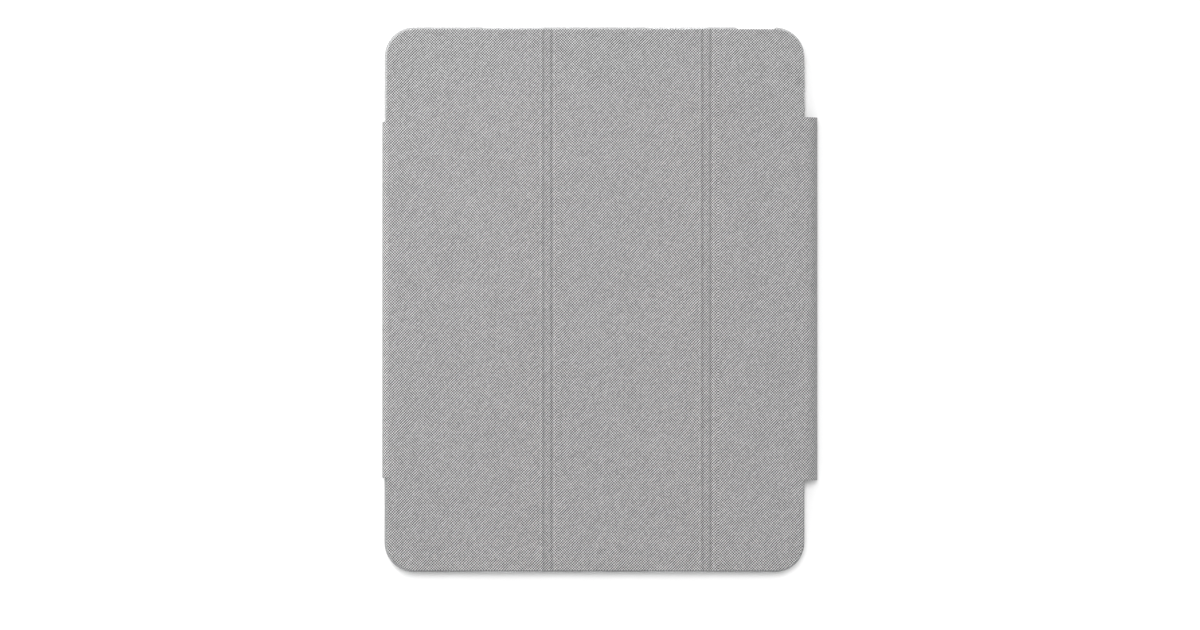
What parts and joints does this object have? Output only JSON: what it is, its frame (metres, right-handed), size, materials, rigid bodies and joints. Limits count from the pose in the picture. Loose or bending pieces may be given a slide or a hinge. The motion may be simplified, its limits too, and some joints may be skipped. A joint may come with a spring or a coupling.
{
  "type": "tablet folio case",
  "caption": "Tri-fold tablet folio case: woven cover hinged on a soft spine, clear shell with camera and port cutouts, and a magnetic flap that wraps a stylus.",
  "frame": {"origin": "centre of the shell's back; z = 0 is the plane that the shell's rim rests on, 1.2 mm outside the back plate's outer face", "axes": "+X from the spine to the closure flap, +Y towards the tablet's top edge, +Z from the shell's back to the cover"},
  "size_m": [0.2286, 0.2862, 0.0123],
  "materials": {
    "clear_plate": "hard clear polycarbonate, polished",
    "clear_bumper": "clear flexible TPU, frosted by its thickness",
    "woven_fabric": "two-tone grey plain weave",
    "lining_fabric": "brushed grey microfibre",
    "board": "rigid grey board",
    "flexible_strip": "thin flexible polyester strip",
    "magnet": "nickel plated"
  },
  "bodies": {
    "shell": {"back_plate": "clear_plate", "bumper_frame": "clear_bumper", "camera_guard": "clear_bumper", "anchor_fabric": "woven_fabric", "anchor_board": "board"},
    "volume_up": {"volume_up_cap": "clear_bumper"},
    "volume_down": {"volume_down_cap": "clear_bumper"},
    "spine": {"spine_fabric": "woven_fabric", "spine_board": "board", "spine_lining": "lining_fabric"},
    "panel_1": {"panel_1_fabric": "woven_fabric", "panel_1_board": "board", "panel_1_lining": "lining_fabric", "panel_1_magnets": "magnet"},
    "panel_2": {"panel_2_fabric": "woven_fabric", "panel_2_board": "board", "panel_2_lining": "lining_fabric"},
    "panel_3": {"panel_3_fabric": "woven_fabric", "panel_3_board": "board", "panel_3_lining": "lining_fabric", "panel_3_magnets": "magnet"},
    "closure_side": {"closure_side_fabric": "woven_fabric", "closure_side_stiffener": "flexible_strip", "closure_side_lining": "lining_fabric"},
    "closure_tab": {"closure_tab_fabric": "woven_fabric", "closure_tab_board": "board", "closure_tab_lining": "lining_fabric", "closure_tab_magnets": "magnet"}
  },
  "joints": [
    {"name": "spine_back", "type": "hinge", "parent": "shell", "child": "spine", "pos_m": [-0.1109, 0, 0.0007], "axis": [0, -1, 0], "range_deg": [0, 179]},
    {"name": "spine_front", "type": "hinge", "parent": "spine", "child": "panel_1", "pos_m": [-0.1109, 0, 0.0118], "axis": [0, -1, 0], "range_deg": [0, 179]},
    {"name": "fold_1", "type": "hinge", "parent": "panel_1", "child": "panel_2", "pos_m": [-0.0246, 0, 0.0123], "axis": [0, 1, 0], "range_deg": [-120, 0]},
    {"name": "fold_2", "type": "hinge", "parent": "panel_2", "child": "panel_3", "pos_m": [0.0588, 0, 0.0123], "axis": [0, 1, 0], "range_deg": [-120, 0]},
    {"name": "closure_front", "type": "hinge", "parent": "panel_3", "child": "closure_side", "pos_m": [0.11501, 0.0005, 0.01067], "axis": [0, -1, 0], "range_deg": [0, 90]},
    {"name": "closure_back", "type": "hinge", "parent": "closure_side", "child": "closure_tab", "pos_m": [0.11531, 0.0005, 0.00161], "axis": [0, -1, 0], "range_deg": [0, 90]},
    {"name": "volume_up_press", "type": "slide", "parent": "shell", "child": "volume_up", "axis": [-1, 0, 0], "range_m": [0, 0.0003], "stiffness_N_per_m": 5000},
    {"name": "volume_down_press", "type": "slide", "parent": "shell", "child": "volume_down", "axis": [-1, 0, 0], "range_m": [0, 0.0003], "stiffness_N_per_m": 5000}
  ],
  "couplings": [
    {"joint": "spine_front", "follows": "spine_back", "ratio": 1}
  ]
}
